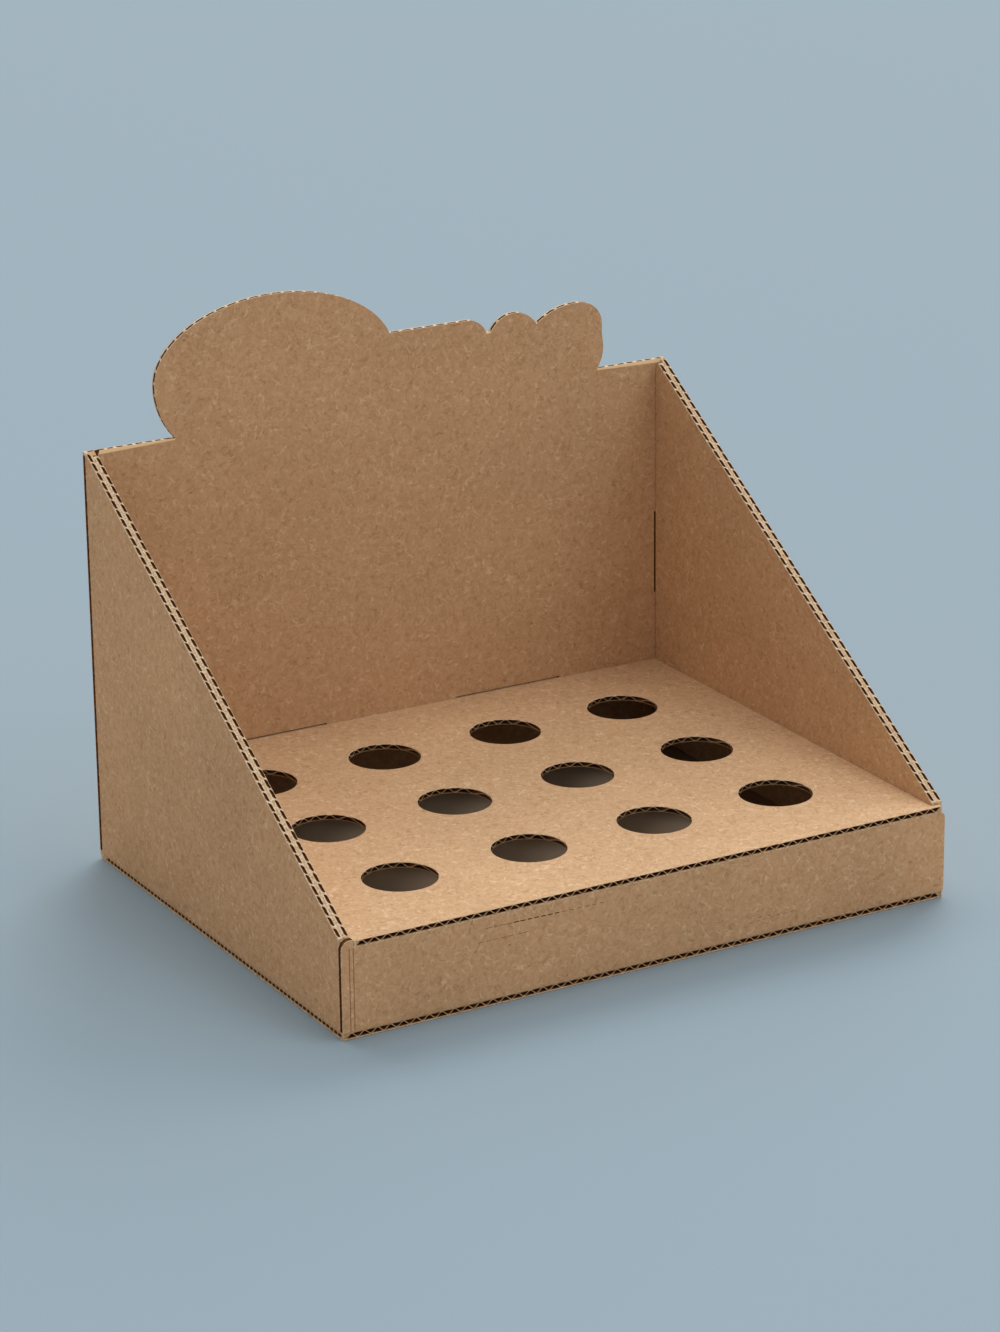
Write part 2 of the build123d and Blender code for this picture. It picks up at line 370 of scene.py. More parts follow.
def softenRims(obj):
    # die-cut rims, where a face meets a raw edge, are slightly crushed and show the liner's pale cut
    bm = bmesh.new()
    bm.from_mesh(obj.data)
    weight = bm.edges.layers.float.new("bevel_weight_edge")
    for edge in bm.edges:
        onTable = all(v.co.z < sheetLook["onTable"] * mm for v in edge.verts)
        if len({face.material_index for face in edge.link_faces}) == 2 and not onTable:
            edge[weight] = 1.0
    bm.to_mesh(obj.data)
    bm.free()
    bevel = obj.modifiers.new("rim", "BEVEL")
    bevel.width = sheetLook["rim"] * mm
    bevel.segments = 1
    bevel.limit_method = "WEIGHT"
    bevel.material = list(obj.data.materials).index(cutEdge)
    bakeModifiers(obj)
    bm = bmesh.new()
    bm.from_mesh(obj.data)
    weld(bm)
    bm.to_mesh(obj.data)
    bm.free()


# flute cells: one tree places a cell at each step along an edge path

def fluteTree():
    # cells keep to the board's plane and point into it; each may turn over, shift a little and be shorter
    tree = bpy.data.node_groups.new("fluteCells", "GeometryNodeTree")
    sockets = tree.interface
    sockets.new_socket("Edge path", in_out="INPUT", socket_type="NodeSocketGeometry")
    for label, kind in (
        ("Cell", "NodeSocketObject"), ("Pitch", "NodeSocketFloat"), ("Turn over", "NodeSocketFloat"),
        ("Length spread", "NodeSocketFloat"), ("Shift spread", "NodeSocketFloat"),
        ("Board normal", "NodeSocketVector"), ("Seed", "NodeSocketInt"), ("Paper", "NodeSocketMaterial"),
    ):
        sockets.new_socket(label, in_out="INPUT", socket_type=kind)
    sockets.new_socket("Cells", in_out="OUTPUT", socket_type="NodeSocketGeometry")
    given = addNode(tree, "NodeGroupInput").outputs
    curve = addNode(tree, "GeometryNodeMeshToCurve", {"Mesh": given["Edge path"]})
    steps = addNode(tree, "GeometryNodeResampleCurve", {
        "Curve": curve.outputs[0], "Length": given["Pitch"]}, mode="LENGTH")
    points = addNode(tree, "GeometryNodeCurveToPoints", {"Curve": steps.outputs[0]}, mode="EVALUATED")
    number = addNode(tree, "GeometryNodeInputIndex").outputs[0]
    spread = addNode(tree, "ShaderNodeMath", {0: given["Shift spread"], 1: -1.0}, operation="MULTIPLY")
    shift = addNode(tree, "FunctionNodeRandomValue", {
        2: spread.outputs[0], 3: given["Shift spread"], "Seed": given["Seed"]}, data_type="FLOAT")
    along = addNode(tree, "ShaderNodeVectorMath", {0: points.outputs["Tangent"]}, operation="SCALE")
    tree.links.new(shift.outputs[1], along.inputs["Scale"])
    moved = addNode(tree, "GeometryNodeSetPosition", {
        "Geometry": points.outputs[0], "Offset": along.outputs[0]})
    facing = addNode(tree, "FunctionNodeAlignRotationToVector", {
        "Vector": points.outputs["Tangent"]}, axis="X")
    level = addNode(tree, "FunctionNodeAlignRotationToVector", {
        "Rotation": facing.outputs[0], "Vector": given["Board normal"]}, axis="Z", pivot_axis="X")
    odd = addNode(tree, "ShaderNodeMath", {0: number, 1: 2.0}, operation="MODULO")
    half = addNode(tree, "ShaderNodeMath", {0: odd.outputs[0], 1: given["Turn over"]}, operation="MULTIPLY")
    turn = addNode(tree, "ShaderNodeCombineXYZ", {"Y": half.outputs[0]})
    asRotation = addNode(tree, "FunctionNodeEulerToRotation", {"Euler": turn.outputs[0]})
    turned = addNode(tree, "FunctionNodeRotateRotation", {
        "Rotation": level.outputs[0], "Rotate By": asRotation.outputs[0]}, rotation_space="LOCAL")
    shortest = addNode(tree, "ShaderNodeMath", {0: 1.0, 1: given["Length spread"]}, operation="SUBTRACT")
    longSeed = addNode(tree, "ShaderNodeMath", {0: given["Seed"], 1: 17.0}, operation="ADD")
    long = addNode(tree, "FunctionNodeRandomValue", {
        2: shortest.outputs[0], 3: 1.0, "Seed": longSeed.outputs[0]}, data_type="FLOAT")
    size = addNode(tree, "ShaderNodeCombineXYZ", {"X": long.outputs[1], "Y": 1.0, "Z": 1.0})
    cell = addNode(tree, "GeometryNodeObjectInfo", {"Object": given["Cell"]})
    placed = addNode(tree, "GeometryNodeInstanceOnPoints", {
        "Points": moved.outputs[0], "Instance": cell.outputs["Geometry"], "Rotation": turned.outputs[0],
        "Scale": size.outputs[0]})
    real = addNode(tree, "GeometryNodeRealizeInstances", {"Geometry": placed.outputs[0]})
    painted = addNode(tree, "GeometryNodeSetMaterial", {
        "Geometry": real.outputs[0], "Material": given["Paper"]})
    out = addNode(tree, "NodeGroupOutput")
    tree.links.new(painted.outputs[0], out.inputs["Cells"])
    return tree


fluteCells = fluteTree()


def cellShape(name, outline, depth, innerShare):
    # a closed tapering pocket: mouth just outside the edge, bottom this deep inside the board
    rings = [[(x * share, y, z * share) for x, z in outline] for y, share in
             ((-reach, 1.0), (0.0, 1.0), (depth, innerShare))]
    obj = meshObject(name, lambda bm: skin(bm, rings))
    obj.hide_render = True
    return obj


def capsule(length, height, lean=0.0, corners=3):
    # a long rounded cell outline, across x and z, whose ends may lean
    radius = height / 2
    points = []
    for side in (1, -1):
        for i in range(corners + 1):
            turn = -pi / 2 + pi * i / corners
            x, z = side * (length / 2 - radius + radius * cos(turn)), side * radius * sin(turn)
            points.append((x + lean * z / height, z))
    return points


def waveCell(pitch, height, wall):
    # the space under one crest of the wavy paper: a cosine's side, less the paper's own thickness
    lost = 2 * wall / height
    levels = (0.0, 0.25, 0.5, 0.75)
    side = [(pitch / (2 * pi) * acos(2 * level - 1 + lost), (level - 0.5) * height) for level in levels
            if 2 * level - 1 + lost < 1]
    crest = (0.0, (0.5 - lost / 2) * height)
    return side + [crest] + [(-x, z) for x, z in reversed(side)]


def cutFlutes(sheet, points, normal, cell, pitch, seed, turnOver=False, lengthSpread=0.0, shiftSpread=0.0,
              paper=fluteShadePaper):
    # a row of flute cells along the points, in painted shade unless another paper is given; the board's
    # inside lies towards normal x direction of travel
    def edgePath(bm):
        verts = [bm.verts.new(p) for p in points]
        for a, b in zip(verts, verts[1:]):
            bm.edges.new((a, b))
    row = meshObject("fluteRow", edgePath)
    modifier = row.modifiers.new("flutes", "NODES")
    modifier.node_group = fluteCells
    setInputs(modifier, {
        "Cell": cell, "Pitch": pitch, "Turn over": pi if turnOver else 0.0, "Length spread": lengthSpread,
        "Shift spread": shiftSpread, "Board normal": normal, "Seed": seed, "Paper": paper,
    })
    bakeModifiers(row)
    cut(sheet, row)


def trimmed(points, fromStart, fromEnd):
    # the same path with a little less at each end
    points = [Vector(p) for p in points]
    for amount in (fromStart, fromEnd):
        left = amount
        while left > 0 and len(points) > 2 and (points[1] - points[0]).length <= left:
            left -= (points[1] - points[0]).length
            points.pop(0)
        step = (points[1] - points[0]).length
        points[0] = points[0].lerp(points[1], left / step)
        points.reverse()
    return points


def smoothStretches(loop, normal, sharp=30):
    # the loop, taken counter-clockwise about the normal, split where it turns by more than sharp degrees
    points = [Vector(p) for p in loop]
    normal = Vector(normal)
    turning = sum((a.cross(b) for a, b in zip(points, points[1:] + points[:1])), Vector())
    if turning.dot(normal) < 0:
        points.reverse()
    count = len(points)

    def turn(i):
        before, after = points[i] - points[i - 1], points[(i + 1) % count] - points[i]
        return before.angle(after)

    corners = [i for i in range(count) if turn(i) > radians(sharp)]
    stretches = []
    for first, last in zip(corners, corners[1:] + [corners[0] + count]):
        stretches.append([points[i % count] for i in range(first, last + 1)])
    return stretches


def movedTo(points, axis, value):
    # the same path on another plane
    moved = [Vector(p) for p in points]
    for p in moved:
        p[axis] = value
    return moved


def grooveCutter(points, normal, width, depth, paper):
    # a square-edged channel along a raw edge, or into a face; its corners fall between the edge's own
    half, normal = width / 2, Vector(normal)
    points = [Vector(p) for p in points]
    if len(points) > 2:
        points = points[:1] + [(a + b) / 2 for a, b in zip(points, points[1:])] + points[-1:]
    aims = [(after - before).normalized() for before, after in
            zip(points[:1] + points[:-1], points[1:] + points[-1:])]
    section = ((-half, -reach), (half, -reach), (half, depth), (-half, depth))
    rings = [[p + normal * side + normal.cross(aim) * deep for side, deep in section]
             for p, aim in zip(points, aims)]
    cutter = meshObject("groove", lambda bm: skin(bm, rings))
    cutter.data.materials.append(paper)
    return cutter


def paintInsideShade(sheet, axis, sign, value):
    # painted shade: the sheet's face on this plane, seen only through the holes, is coloured dim
    sheet.data.materials.append(insideShadePaper)
    for face in sheet.data.polygons:
        if face.normal[axis] * sign > 0.99 and abs(face.center[axis] - value) < exact:
            face.material_index = len(sheet.data.materials) - 1


def boxCutter(name, low, high, material):
    # an upright block between two corners
    def build(bm):
        bmesh.ops.create_cube(bm, size=1.0)
        for v in bm.verts:
            v.co = Vector([(a + b) / 2 + c * (b - a) for a, b, c in zip(low, high, v.co)])
    cutter = meshObject(name, build)
    cutter.data.materials.append(material)
    return cutter


def prismCutter(name, loop, before, offset, material):
    # a loop moved back by one vector and extruded by another, all in one material
    cutter = prism(name, [p + Vector(before) for p in loop], offset, material, material)
    cutter.data.materials.pop()
    for face in cutter.data.polygons:
        face.material_index = 0
    return cutter


# cells of the board's flutes, as the raw edges show them

cellLook = {
    "pitch": 6.4,             # mm from crest to crest
    "wall": 0.3,              # wavy paper and glue between two cells, measured upwards
    "height": 2.15,           # daylight between the liners
    "depth": 5.0,             # of a pocket whose bottom can't be seen
    "waveTaper": 0.85,        # share of a wave-shaped cell's size left at its bottom
    "longTaper": 0.75,        # and of a long cell's
    "grooveRoom": 0.12,       # mm, how much wider the groove around a row is than its cells
    "endPitch": 3.7,          # along the base's two ends
    "shoulderPitch": 4.9,
    "uprightPitch": 5.7,
    "dashPitch": 5.9,         # along the slopes and the header
}
# long cells, in mm; an end may lean sideways; on the back's upright ends the liners are cut nearly away
longCells = {
    "dash": {"length": 5.45, "height": 1.45, "depth": 1.1, "lean": 1.1},
    "upright": {"length": 5.0, "height": 2.2, "depth": cellLook["depth"], "lean": 0.0},
    "header": {"length": 5.3, "height": 1.45, "depth": 2.4, "lean": 0.6},
    "shoulder": {"length": 4.4, "height": 1.5, "depth": 2.0, "lean": 0.0},
    "end": {"length": 3.1, "height": 1.75, "depth": 1.3, "lean": 0.5},
}
halfPitch = cellLook["pitch"] / 2 * mm
wave = waveCell(cellLook["pitch"] * mm, cellLook["height"] * mm, cellLook["wall"] * mm)
cells = {
    "waveEnd": cellShape("waveEnd", wave, cellLook["depth"] * mm, cellLook["waveTaper"]),
    "through": cellShape("throughCell", wave, shelfHigh.y - shelfLow.y + slack, 1.0),
}
for name, look in longCells.items():
    outline = capsule(look["length"] * mm, look["height"] * mm, look["lean"] * mm)
    cells[name] = cellShape(name + "Cell", outline, look["depth"] * mm, cellLook["longTaper"])


# the four plies of the sloping sides

slopeLook = {
    "outerRow": 1.15,         # mm from a ply's left or right outer face to the middle of its dashes
    "innerRow": 1.85,
    "lengthSpread": 0.1,
    "shiftSpread": 0.2,
    "tabCrush": 0.15,         # mm, how much thinner a tab is pressed where it sits in its slot
    "rearGap": 0.4,           # mm, how far an inner side's crushed rear edge stands off the back
    "tabStart": 0.05,         # mm behind the back's front face, where that crush begins
    "gapStop": 0.02,          # mm behind it, where the gap ends
}


def pressTab(sheet, inner, towardsMiddle):
    # an inner ply's tab is pressed thinner in its slot, and its rear edge stands a hair off the back; both
    # cut faces carry painted shade
    rear, past = backFront + slopeLook["tabStart"] * mm, inner + towardsMiddle * slack
    x0, x1 = sorted((inner - towardsMiddle * slopeLook["tabCrush"] * mm, past))
    low, high = (x0, rear, shelfHigh.z), (x1, wholeHigh.y + slack, wholeHigh.z)
    cut(sheet, boxCutter("tabCrush", low, high, fluteShadePaper))
    x0, x1 = sorted((inner - towardsMiddle * board / 2, past))
    low = (x0, backFront - slopeLook["rearGap"] * mm, shelfHigh.z + slack)
    high = (x1, backFront + slopeLook["gapStop"] * mm, wholeHigh.z)
    cut(sheet, boxCutter("rearGap", low, high, fluteShadePaper))


def slopingSide(name, outer, towardsMiddle, across, seed):
    # one ply of a sloping side, with dashes of flute along its slope
    loop = outlineLoops(name, 0, outer)[0]
    sheet = prism(name + "_board", loop, (towardsMiddle * board, 0, 0), kraftFace, cutEdge)
    softenRims(sheet)
    # painted shade: the small bevel at the top rear corner is coloured as the dark fluting
    sheet.data.materials.append(fluteShadePaper)
    for face in sheet.data.polygons:
        if face.normal.y > 0.5 and face.normal.z > 0.5:
            face.material_index = len(sheet.data.materials) - 1
    if max(p.y for p in loop) > backFront + slack:
        pressTab(sheet, outer + towardsMiddle * board, towardsMiddle)
    x = outer + towardsMiddle * across * mm
    high = max(loop, key=lambda p: p.z)
    low = max((p for p in loop if p.y < panelHigh.y + slack), key=lambda p: p.z)
    path = trimmed([(x, high.y, high.z), (x, low.y, low.z)], margin, margin)
    cutFlutes(sheet, path, (1, 0, 0), cells["dash"], cellLook["dashPitch"] * mm, seed, paper=dashShadePaper,
              lengthSpread=slopeLook["lengthSpread"], shiftSpread=slopeLook["shiftSpread"] * mm)
    handIn(sheet, name)


slopingSide("left_outer_side", leftEnd, 1, slopeLook["outerRow"], 11)
slopingSide("left_inner_side", leftEnd + board, 1, slopeLook["innerRow"], 12)
slopingSide("right_outer_side", rightEnd, -1, slopeLook["outerRow"], 13)
slopingSide("right_inner_side", rightEnd - board, -1, slopeLook["innerRow"], 14)
print("stage 3: sloping sides")


# the holed shelf, with flutes right through it from front to back

shelfLook = {
    "rim": 0.35,              # mm, the pale cut lip of a hole
    "sides": 96,              # flat sides of a round hole
    "raised": 0.12,           # mm, how much nearer the top the cells lie
    "setback": 0.15,          # mm, how far the wavy paper stands back from the front edge
    "grooveRoom": 0.1,        # mm, how much taller that recess is than the cells
    "seed": 21,
}


def holeCutter(x, y, radius):
    # a lathe-turned plug that flares a little at both faces, so that the cut rims show
    flare, sides = shelfLook["rim"] * mm, shelfLook["sides"]
    top, bottom = shelfHigh.z, shelfLow.z
    profile = [(bottom - slack, radius + flare), (bottom, radius + flare), (bottom + flare, radius),
               (top - flare, radius), (top, radius + flare), (top + slack, radius + flare)]
    turns = [2 * pi * i / sides for i in range(sides)]
    rings = [[(x + r * cos(a), y + r * sin(a), z) for a in turns] for z, r in profile]

    def build(bm):
        for wall in skin(bm, rings)[2 * sides:3 * sides]:    # the upright middle wall, cut through the flutes
            wall.material_index = 1
    cutter = meshObject("holePlug", build)
    cutter.data.materials.append(cutEdge)
    cutter.data.materials.append(webPaper)
    return cutter


def holedShelf():
    loop = outlineLoops("holed_shelf", 2, shelfHigh.z)[0]
    sheet = prism("holed_shelf_board", loop, (0, 0, -board), kraftFace, cutEdge)
    softenRims(sheet)
    for mount in frame["record"]["mounts"]:
        if mount["kind"] == "bore":
            x, y, _ = mount["pos_m"]
            cut(sheet, holeCutter(x, y, mount["dims"]["r_mm"] * mm))
    z = (shelfLow.z + shelfHigh.z) / 2 + shelfLook["raised"] * mm
    downward = (0, 0, -1)
    front = max((s for s in smoothStretches(movedTo(loop, 2, z), downward)
                 if max(p.y for p in s) < shelfLow.y + hair), key=lambda s: (s[0] - s[-1]).length)
    width, depth = (cellLook["height"] + shelfLook["grooveRoom"]) * mm, shelfLook["setback"] * mm
    cut(sheet, grooveCutter(trimmed(front, slack, slack), downward, width, depth, webPaper))
    cutFlutes(sheet, trimmed(front, margin, margin), downward, cells["through"], halfPitch,
              shelfLook["seed"], turnOver=True)
    paintInsideShade(sheet, 2, -1, shelfLow.z)
    handIn(sheet, "holed_shelf")


holedShelf()
print("stage 4: shelf")


# front panel

panelLook = {
    "grooveWidth": 2.1,       # mm, the flute that lies open along both ends
    "grooveDepth": 2.6,
    "earCrushDrop": 1.5,      # mm below the ear's top, where the open flute ends and squashed fluting begins
    "earCrushWidth": 2.5,
    "earCrushDepth": 0.8,
    "openTrim": (0.5, 0.2),   # mm less at the start and end of the open flute's path
    "crushTrim": (0.2, 0.6),  # and of the squashed one's
    "creases": (4.0, 6.0),    # mm from the left end
    "creaseDrop": 4.0,        # mm below the panel's top
    "creaseRise": 1.0,        # mm above its foot
    "creaseWidth": 0.45,
    "creaseDepth": 0.06,
    "nickPitch": 3.5,         # mm, in the rows of nicks that the die left on the face
    "nickTaper": 0.8,
    "nickLengthSpread": 0.25,
    "nickShiftSpread": 0.15,  # mm
    "nickSeed": 30,
}
# rows of nicks on the face: start and stop in mm across from the left end and up, then a nick's size;
# most only graze the liner, and one row cuts down to the fluting, coloured as its painted shade
nickRows = [
    {"start": (73.9, 37.5), "stop": (84.4, 37.4), "long": 3.2, "wide": 0.4, "deep": 0.2},
    {"start": (87.9, 37.4), "stop": (108.9, 37.2), "long": 3.1, "wide": 0.5, "deep": 0.4,
     "paper": fluteShadePaper},
    {"start": (112.4, 37.2), "stop": (132.2, 37.1), "long": 2.6, "wide": 0.35, "deep": 0.2},
    {"start": (69.7, 31.4), "stop": (92.7, 31.4), "long": 3.2, "wide": 0.3, "deep": 0.2},
    {"start": (65.3, 42.0), "stop": (64.1, 38.4), "long": 3.3, "wide": 0.3, "deep": 0.2},
    {"start": (216.9, 11.7), "stop": (226.8, 11.1), "long": 2.6, "wide": 0.35, "deep": 0.15},
    {"start": (212.0, 9.8), "stop": (234.5, 10.9), "long": 2.6, "wide": 0.25, "deep": 0.12},
]


def frontPanel():
    loop = outlineLoops("front_panel", 1, panelLow.y)[0]
    sheet = prism("front_panel_board", loop, (0, board, 0), kraftFace, cutEdge)
    softenRims(sheet)
    middle = (panelLow.y + panelHigh.y) / 2
    rearward = (0, 1, 0)
    stretches = smoothStretches(movedTo(loop, 1, middle), rearward)
    leftPath = max((s for s in stretches if max(p.x for p in s) < 0), key=len)
    crushFrom = max(p.z for p in leftPath) - panelLook["earCrushDrop"] * mm
    openPath = [p for p in leftPath if p.z < crushFrom]
    crushedPath = [p for p in leftPath if p.z > crushFrom - slack]
    rightPath = [(rightEnd, middle, panelHigh.z - 2 * board), (rightEnd, middle, panelLow.z + board)]
    low, high = panelLook["openTrim"]
    width, depth = panelLook["grooveWidth"] * mm, panelLook["grooveDepth"] * mm
    # the open flutes along both ends carry painted shade
    for path in (trimmed(openPath, low * mm, high * mm), rightPath):
        cut(sheet, grooveCutter(path, rearward, width, depth, fluteShadePaper))
    low, high = panelLook["crushTrim"]
    width, depth = panelLook["earCrushWidth"] * mm, panelLook["earCrushDepth"] * mm
    # the squashed fluting's groove is partly painted shade
    cut(sheet, grooveCutter(trimmed(crushedPath, low * mm, high * mm), rearward, width, depth, crushedFlutingAndShadePaper))
    # pressed lines, coloured darker as painted shade
    width, depth = panelLook["creaseWidth"] * mm, panelLook["creaseDepth"] * mm
    for across in panelLook["creases"]:
        x, top = leftEnd + across * mm, panelHigh.z - panelLook["creaseDrop"] * mm
        line = [(x, panelLow.y, top), (x, panelLow.y, panelLow.z + panelLook["creaseRise"] * mm)]
        cut(sheet, grooveCutter(line, (-1, 0, 0), width, depth, creaseShadeKraft))
    for number, row in enumerate(nickRows):
        nick = cellShape("nick", capsule(row["long"] * mm, row["wide"] * mm), row["deep"] * mm,
                         panelLook["nickTaper"])
        line = [(leftEnd + across * mm, panelLow.y, up * mm) for across, up in (row["start"], row["stop"])]
        aim = (Vector(line[1]) - Vector(line[0])).normalized()
        cutFlutes(sheet, line, aim.cross(Vector(rearward)), nick, panelLook["nickPitch"] * mm,
                  panelLook["nickSeed"] + number, lengthSpread=panelLook["nickLengthSpread"],
                  shiftSpread=panelLook["nickShiftSpread"] * mm, paper=row.get("paper", grazedKraft))
        bpy.data.objects.remove(nick)
    paintInsideShade(sheet, 1, 1, panelHigh.y)
    handIn(sheet, "front_panel")


frontPanel()
print("stage 5: front panel")


# back and base, one folded sheet

backLook = {
    "bevelHeight": 1.9,       # mm, the front liner crushed back along the shoulders
    "bevelDepth": 0.8,
    "bevelPoint": 0.4,        # share of its size left where it meets the header
    "shoulderShift": 0.3,     # mm, cells there lie nearer the rear liner
    "headerShift": 0.2,       # mm, and the header's nearer the front liner
    "baseGroove": 0.2,        # mm, how far the wavy paper stands back at the base's front and ends
    "baseRaised": 0.22,       # mm, how much nearer the base's top its cells lie
    "cornerPost": 0.5,        # mm of board left whole at the base's corners
    "frontMargin": 4.3,       # mm from a corner to the middle of the base's first front cell
    "uprightGroove": 0.35,    # mm, and at the back's upright ends
    "endStop": 0.2,           # mm short of the back's front face, where the base's right end is set in to
    "gapWidth": 3.6,          # mm, the open notch in the shoulder just above the left inner side's top end
    "gapHeight": 2.8,
    "gapDepth": 1.9,
    "gapIn": 1.6,             # boards from the end to the notch
    "seed": 40,
    "baseSeed": 61,
}
# rows along the back's outline: share by which cells are shorter, and mm by which they shift
backRows = {
    "upright": {"pitch": cellLook["uprightPitch"], "lengthSpread": 0.12, "shiftSpread": 0.3},
    "shoulder": {"pitch": cellLook["shoulderPitch"], "lengthSpread": 0.3, "shiftSpread": 0.3},
    "header": {"pitch": cellLook["dashPitch"], "lengthSpread": 0.06, "shiftSpread": 0.08, "paper": dashShadePaper},
}


def foldedSheet():
    # the L-shaped section, run across the box and cut to the outline of the back
    beyond = 5 * mm
    profile = [p.copy() for p in outlineLoops("back_and_base", 0, leftEnd)[0]]
    for p in profile:
        p.x -= beyond
        if p.z > 2 * board:
            p.z = wholeHigh.z + beyond
    across = (rightEnd - leftEnd + 2 * beyond, 0, 0)
    folded = prism("back_and_base_board", profile, across, cutEdge, kraftFace)
    outline = [p.copy() for p in outlineLoops("back_and_base", 1, wholeHigh.y)[0]]
    lowest = min(p.z for p in outline)
    for p in outline:
        p.y += beyond
        if p.z < lowest + hair:
            p.z = -beyond
    through = (0, -(wholeHigh.y - wholeLow.y) - 2 * beyond, 0)
    cut(folded, prismCutter("backOutline", outline, (0, 0, 0), through, cutEdge), "INTERSECT")
    # the slots' walls carry painted shade
    for slotLoop in outlineLoops("back_and_base", 1, backFront)[1:]:
        cut(folded, prismCutter("tabSlot", slotLoop, (0, -slack, 0), (0, board + 2 * slack, 0), fluteShadePaper))
    # the base's front edge is raw
    for face in folded.data.polygons:
        if face.normal.y < -0.9 and face.center.y < wholeLow.y + hair:
            face.material_index = 0
    softenRims(folded)
    shortEnd = max(p.x for p in outlineLoops("back_and_base", 2, wholeLow.z)[0] if p.y < 0)
    low = (shortEnd, wholeLow.y - beyond, -beyond)
    high = (rightEnd + beyond, backFront - backLook["endStop"] * mm, board + beyond)
    cut(folded, boxCutter("endSetback", low, high, cutEdge))
    return folded, shortEnd


def crushShoulder(sheet, corner, root, top):
    # a pale bevel where the front liner is pushed back, full at the box's corner and pointed at the header;
    # its paleness is partly a painted highlight
    towards = 1 if root > corner else -1
    ends = []
    for x, share in ((corner - towards * slack, 1.0), (root, backLook["bevelPoint"])):
        high, deep = backLook["bevelHeight"] * mm * share, backLook["bevelDepth"] * mm * share
        section = ((backFront - deep, top - high * 2), (backFront - deep, top + high),
                   (backFront + deep * 2, top + high))
        ends.append([(x, y, z) for y, z in section])
    cutter = meshObject("shoulderBevel", lambda bm: skin(bm, ends))
    cutter.data.materials.append(bevelCoreAndHighlight)
    cut(sheet, cutter)


def openGap(sheet, top):
    # painted shadow: a shallow three-cornered notch, coloured dark, where the left inner side's corner leaves
    # the back's fluting open
    near = leftEnd + backLook["gapIn"] * board
    corners = ((near, top + slack), (near + backLook["gapWidth"] * mm, top + slack),
               (near + board / 2, top - backLook["gapHeight"] * mm))
    loop = [Vector((x, backFront - slack, z)) for x, z in corners]
    cut(sheet, prismCutter("openGap", loop, (0, 0, 0), (0, backLook["gapDepth"] * mm + slack, 0), fluteShadePaper))


def outlineRows(sheet):
    # each smooth stretch of the back's outline gets its own kind of row
    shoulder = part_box("left_outer_side")[1].z
    outer = outlineLoops("back_and_base", 1, wholeHigh.y)[0]
    middle = wholeHigh.y - board / 2
    forward = (0, -1, 0)
    for number, stretch in enumerate(smoothStretches(movedTo(outer, 1, middle), forward)):
        low, high = min(p.z for p in stretch), max(p.z for p in stretch)
        if high < 2 * board or (stretch[0] - stretch[-1]).length < board:
            continue
        path = trimmed(stretch, margin, margin)
        if low < shoulder - board:
            kind = "upright"
            width = (longCells[kind]["height"] + cellLook["grooveRoom"]) * mm
            # its groove carries painted shade
            cut(sheet, grooveCutter(path, forward, width, backLook["uprightGroove"] * mm, fluteShadePaper))
        elif high < shoulder + hair:
            kind = "shoulder"
            root, corner = sorted((p.x for p in (stretch[0], stretch[-1])), key=abs)
            crushShoulder(sheet, corner, root, shoulder)
            if corner < 0:
                openGap(sheet, shoulder)
            path = movedTo(path, 1, middle + backLook["shoulderShift"] * mm)
        else:
            kind = "header"
            path = movedTo(path, 1, middle - backLook["headerShift"] * mm)
        row = backRows[kind]
        cutFlutes(sheet, path, forward, cells[kind], row["pitch"] * mm, backLook["seed"] + number,
                  lengthSpread=row["lengthSpread"], shiftSpread=row["shiftSpread"] * mm,
                  paper=row.get("paper", fluteShadePaper))


def baseRows(sheet, shortEnd):
    # a shallow groove and a row of cells along the base's front and its two ends
    up = (0, 0, 1)
    z = wholeLow.z + board / 2 + backLook["baseRaised"] * mm
    front, rear = wholeLow.y, wholeHigh.y - 2 * board
    endHeight, endPitch = longCells["end"]["height"], cellLook["endPitch"] * mm
    frontMargin = backLook["frontMargin"] * mm
    edges = (
        ([(leftEnd, front, z), (shortEnd, front, z)], "waveEnd", cellLook["height"], halfPitch, frontMargin),
        ([(leftEnd, rear, z), (leftEnd, front, z)], "end", endHeight, endPitch, margin),
        ([(shortEnd, front, z), (shortEnd, rear, z)], "end", endHeight, endPitch, margin),
    )
    post, deep = backLook["cornerPost"] * mm, backLook["baseGroove"] * mm
    for number, (edge, kind, height, pitch, clear) in enumerate(edges):
        width = (height + cellLook["grooveRoom"]) * mm
        cut(sheet, grooveCutter(trimmed(edge, post, post), up, width, deep, webPaper))
        cutFlutes(sheet, trimmed(edge, clear, clear), up, cells[kind], pitch, backLook["baseSeed"] + number,
                  turnOver=kind == "waveEnd")


def backAndBase():
    sheet, shortEnd = foldedSheet()
    outlineRows(sheet)
    baseRows(sheet, shortEnd)
    paintInsideShade(sheet, 2, 1, wholeLow.z + board)
    handIn(sheet, "back_and_base")


backAndBase()
print("stage 6: back and base")

for helper in cells.values():
    bpy.data.objects.remove(helper)


# floor, light and camera

studioLook = {
    "floorHalf": 12.0,        # m
    "floorDrop": 0.2,         # mm below the box
    "floorRoughness": 0.9,
    "seen": "#93a5b0",
    "bounced": "#c1bab3",
    "sky": "#ffffff",
    "skyStrength": 0.32,
}
# wide soft lamps: direction that each shines from, its strength (pi is full daylight white) and its width
lamps = {
    "overhead": {"from": (0.0, 0.0, 1.0), "strength": 0.76, "width": 40},
    "rightHigh": {"from": (0.5, 0.0, 0.866), "strength": 0.2, "width": 40},
    "rearHigh": {"from": (0.0, 0.643, 0.766), "strength": 0.7, "width": 40},
    "rearRight": {"from": (0.612, 0.612, 0.5), "strength": 1.6, "width": 38},
    "rightFront": {"from": (0.5, -0.5, 0.707), "strength": 0.4, "width": 40},
}


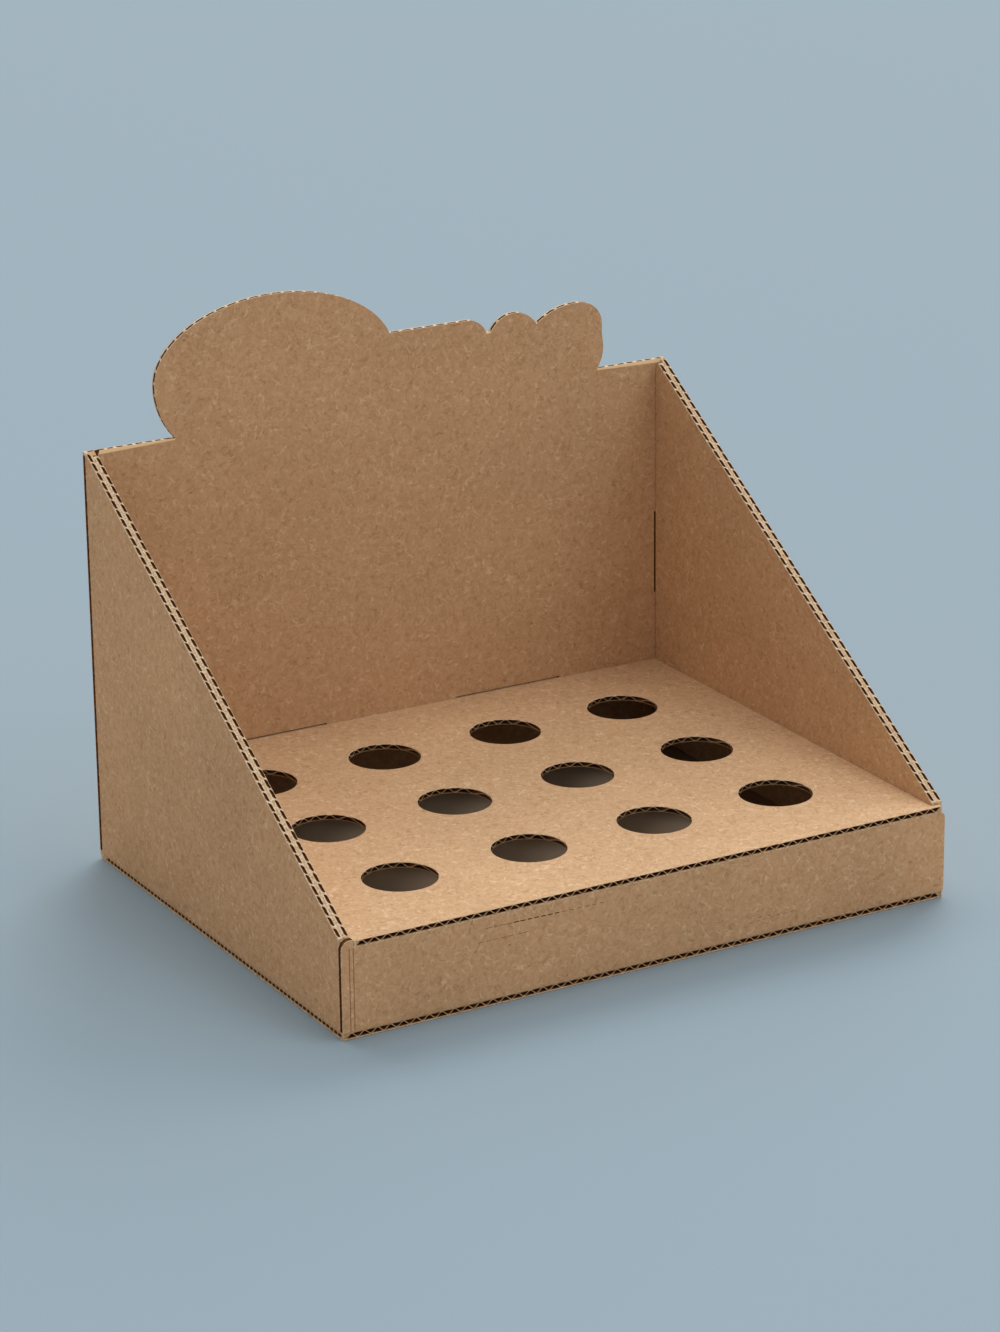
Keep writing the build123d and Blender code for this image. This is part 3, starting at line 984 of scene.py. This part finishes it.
def floorPaint():
    # matt blue-grey ground; light that bounces off it is plain, so that the paper keeps its own colour
    paint = plainPaper("floorPaint", studioLook["seen"], studioLook["floorRoughness"])
    tree = paint.node_tree
    rays = addNode(tree, "ShaderNodeLightPath").outputs
    seen = rays["Is Camera Ray"]
    for ray in ("Is Glossy Ray", "Is Transmission Ray"):
        seen = addNode(tree, "ShaderNodeMath", {0: seen, 1: rays[ray]}, operation="MAXIMUM").outputs[0]
    colour = addNode(tree, "ShaderNodeMix", {
        0: seen, 6: linear(studioLook["bounced"]), 7: linear(studioLook["seen"])}, data_type="RGBA")
    tree.links.new(colour.outputs[2], tree.nodes["Principled BSDF"].inputs["Base Color"])
    return paint


def studio():
    floor = meshObject("floor", lambda bm: bmesh.ops.create_grid(
        bm, x_segments=1, y_segments=1, size=studioLook["floorHalf"]))
    floor.data.transform(Matrix.Translation((0, 0, -studioLook["floorDrop"] * mm)))
    floor.data.materials.append(floorPaint())
    world = bpy.data.worlds.new("studio")
    world.use_nodes = True
    scene.world = world
    sky = world.node_tree.nodes["Background"]
    sky.inputs["Color"].default_value = linear(studioLook["sky"])
    sky.inputs["Strength"].default_value = studioLook["skyStrength"]
    for name, look in lamps.items():
        data = bpy.data.lights.new(name, "SUN")
        data.energy = look["strength"]
        data.angle = radians(look["width"])
        lamp = bpy.data.objects.new(name, data)
        lamp.rotation_euler = Vector(look["from"]).to_track_quat("Z", "Y").to_euler()
        scene.collection.objects.link(lamp)


def photoCamera():
    # the photograph's own view, worked out from the box's straight edges; metres, degrees and mm
    view = {"place": (-0.9491, -1.6594, 0.7782), "azimuth": 29.571, "elevation": 19.352, "roll": -0.646,
            "lens": 155.12, "sensor": 36.0}
    az, el, roll = radians(view["azimuth"]), radians(view["elevation"]), radians(view["roll"])
    forward = Vector((sin(az) * cos(el), cos(az) * cos(el), -sin(el)))
    right = Vector((cos(az), -sin(az), 0))
    up = right.cross(forward)
    rightTurned = cos(roll) * right + sin(roll) * up
    upTurned = -sin(roll) * right + cos(roll) * up
    data = bpy.data.cameras.new("camera")
    data.sensor_fit = "HORIZONTAL"
    data.sensor_width = view["sensor"]
    data.lens = view["lens"]
    camera = bpy.data.objects.new("camera", data)
    turned = Matrix((rightTurned, upTurned, -forward)).transposed()
    camera.matrix_world = Matrix.Translation(view["place"]) @ turned.to_4x4()
    scene.collection.objects.link(camera)
    scene.camera = camera


studio()
photoCamera()
scene.view_settings.view_transform = "Standard"
print("stage 7: studio and camera")
